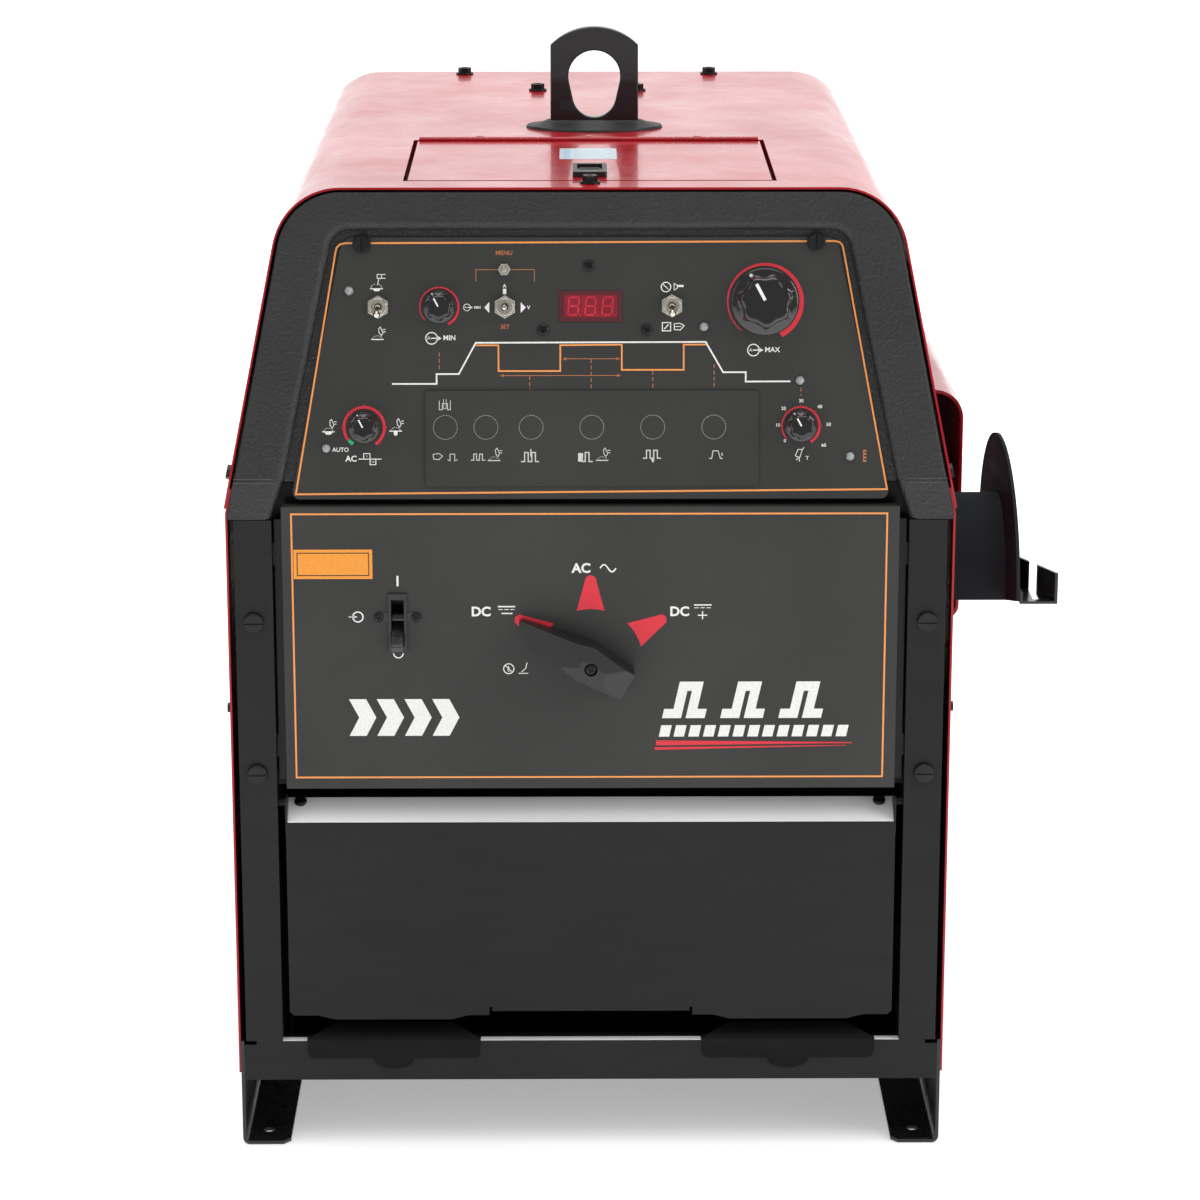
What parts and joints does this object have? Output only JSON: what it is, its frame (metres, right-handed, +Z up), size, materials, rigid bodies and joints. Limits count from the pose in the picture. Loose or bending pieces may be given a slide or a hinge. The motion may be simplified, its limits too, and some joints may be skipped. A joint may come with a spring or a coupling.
{
  "type": "tig welding machine",
  "caption": "Transformer TIG welding power source: red steel case with sloping control panel, polarity handle, output door, cable saddle, storage lid, lifting eye and floor skids.",
  "frame": {"origin": "centre of the four floor holes, at floor level", "axes": "+Z up, front with the controls towards -Y, cable saddle on +X"},
  "size_m": [0.5945, 0.7072, 0.771],
  "materials": {
    "red_paint": "gloss powder coat over sheet steel",
    "black_paint": "semi-gloss black powder coat",
    "panel_paint": "satin charcoal with printed lines",
    "rear_paint": "satin black",
    "bezel_plastic": "pebbled moulding",
    "handle_plastic": "satin moulded nylon",
    "lever_plastic": "polished",
    "knob_plastic": "polished with a white pointer line",
    "socket_plastic": "moulded",
    "nickel": "bright nickel plate",
    "display_red": "dark red filter over segments",
    "lens_clear": "clear water-white lens",
    "boot_rubber": "smooth moulded rubber",
    "dark_screw": "black oxide",
    "brass_fitting": "machined",
    "core_steel": "varnished laminations",
    "winding_copper": "varnished windings and iron",
    "heatsink_aluminium": "extruded",
    "board_green": "circuit laminate",
    "bare_steel": "zinc plated",
    "breaker_plastic": "moulded",
    "breaker_red": "white push button"
  },
  "bodies": {
    "case": {"skid_right": "black_paint", "skid_left": "black_paint", "base_pan": "black_paint", "front_frame": "black_paint", "side_panel_right": "red_paint", "side_panel_left": "red_paint", "roof": "red_paint", "rear_panel": "rear_paint", "bezel": "bezel_plastic", "control_panel": "panel_paint", "option_cover": "panel_paint", "display_module": "display_red", "panel_pots": "nickel", "switch_bushes": "nickel", "panel_leds": "lens_clear", "lower_panel": "panel_paint", "polarity_switch": "socket_plastic", "power_switch": "handle_plastic", "output_panel": "rear_paint", "work_stud": "brass_fitting", "electrode_stud": "brass_fitting", "gas_outlet": "brass_fitting", "remote_receptacle": "socket_plastic", "cable_guard_right": "black_paint", "cable_guard_left": "black_paint", "vent_hood": "red_paint", "cable_hanger": "black_paint", "torch_rest": "black_paint", "storage_tray": "rear_paint", "hinge_leaf": "red_paint", "lift_bail": "black_paint", "bail_skirt": "boot_rubber", "case_screws": "dark_screw", "transformer_core": "core_steel", "transformer_coils": "winding_copper", "output_choke": "winding_copper", "rectifier": "heatsink_aluminium", "control_board": "board_green", "fan_shroud": "bare_steel", "gas_inlet": "brass_fitting", "cord_gland": "socket_plastic", "duplex_receptacle": "socket_plastic", "breaker_bushes": "breaker_plastic"},
    "lid": {"storage_lid": "red_paint", "latch_plate": "handle_plastic"},
    "latch": {"latch_slider": "handle_plastic"},
    "door": {"output_door": "black_paint"},
    "polarity": {"polarity_handle": "handle_plastic"},
    "power": {"power_lever": "lever_plastic"},
    "mode_lever": {"toggle_mode": "nickel"},
    "display_lever": {"toggle_display": "nickel"},
    "remote_lever": {"toggle_remote": "nickel"},
    "menu": {"menu_button": "nickel"},
    "min_dial": {"knob_min": "knob_plastic"},
    "max_dial": {"knob_max": "knob_plastic"},
    "balance_dial": {"knob_balance": "knob_plastic"},
    "postflow_dial": {"knob_postflow": "knob_plastic"},
    "fan": {"fan_blades": "socket_plastic"},
    "breaker_upper": {"breaker_button_upper": "breaker_red"},
    "breaker_lower": {"breaker_button_lower": "breaker_red"}
  },
  "joints": [
    {"name": "lid_hinge", "type": "hinge", "parent": "case", "child": "lid", "pos_m": [0, -0.076, 0.6946], "axis": [-1, 0, 0], "range_deg": [0, 110]},
    {"name": "latch_slide", "type": "slide", "parent": "lid", "child": "latch", "axis": [0, 1, 0], "range_m": [0, 0.006], "stiffness_N_per_m": 250, "springref_m": -0.006},
    {"name": "door_hinge", "type": "hinge", "parent": "case", "child": "door", "pos_m": [0, -0.321, 0.258], "axis": [-1, 0, 0], "range_deg": [0, 100]},
    {"name": "polarity_turn", "type": "hinge", "parent": "case", "child": "polarity", "pos_m": [0, -0.34, 0.366], "axis": [0, 1, 0], "range_deg": [0, 120]},
    {"name": "power_flip", "type": "hinge", "parent": "case", "child": "power", "pos_m": [-0.135, -0.316, 0.3925], "axis": [-1, 0, 0], "range_deg": [0, 64]},
    {"name": "mode_flip", "type": "hinge", "parent": "case", "child": "mode_lever", "pos_m": [-0.1468, -0.30644, 0.61245], "axis": [-1, 0, 0], "range_deg": [0, 32]},
    {"name": "display_flip", "type": "hinge", "parent": "case", "child": "display_lever", "pos_m": [-0.0591, -0.30644, 0.61245], "axis": [0, 0.1634, 0.9866], "range_deg": [-16, 16]},
    {"name": "remote_flip", "type": "hinge", "parent": "case", "child": "remote_lever", "pos_m": [0.0565, -0.30634, 0.61305], "axis": [-1, 0, 0], "range_deg": [0, 32]},
    {"name": "menu_press", "type": "slide", "parent": "case", "child": "menu", "axis": [0, 0.9866, -0.1634], "range_m": [0, 0.0015], "stiffness_N_per_m": 150, "springref_m": -0.003},
    {"name": "min_turn", "type": "hinge", "parent": "case", "child": "min_dial", "pos_m": [-0.1045, -0.30841, 0.61277], "axis": [0, 0.9866, -0.1634], "range_deg": [-122, 178]},
    {"name": "max_turn", "type": "hinge", "parent": "case", "child": "max_dial", "pos_m": [0.1207, -0.30785, 0.61617], "axis": [0, 0.9866, -0.1634], "range_deg": [-122, 178]},
    {"name": "balance_turn", "type": "hinge", "parent": "case", "child": "balance_dial", "pos_m": [-0.1569, -0.32203, 0.53057], "axis": [0, 0.9866, -0.1634], "range_deg": [-122, 178]},
    {"name": "postflow_turn", "type": "hinge", "parent": "case", "child": "postflow_dial", "pos_m": [0.146, -0.32193, 0.53117], "axis": [0, 0.9866, -0.1634], "range_deg": [-122, 178]},
    {"name": "fan_spin", "type": "hinge", "parent": "case", "child": "fan", "pos_m": [0, 0.245, 0.285], "axis": [0, 1, 0], "continuous": true},
    {"name": "breaker_upper_press", "type": "slide", "parent": "case", "child": "breaker_upper", "axis": [0, -1, 0], "range_m": [0, 0.002], "stiffness_N_per_m": 400, "springref_m": -0.002},
    {"name": "breaker_lower_press", "type": "slide", "parent": "case", "child": "breaker_lower", "axis": [0, -1, 0], "range_m": [0, 0.002], "stiffness_N_per_m": 400, "springref_m": -0.002}
  ]
}
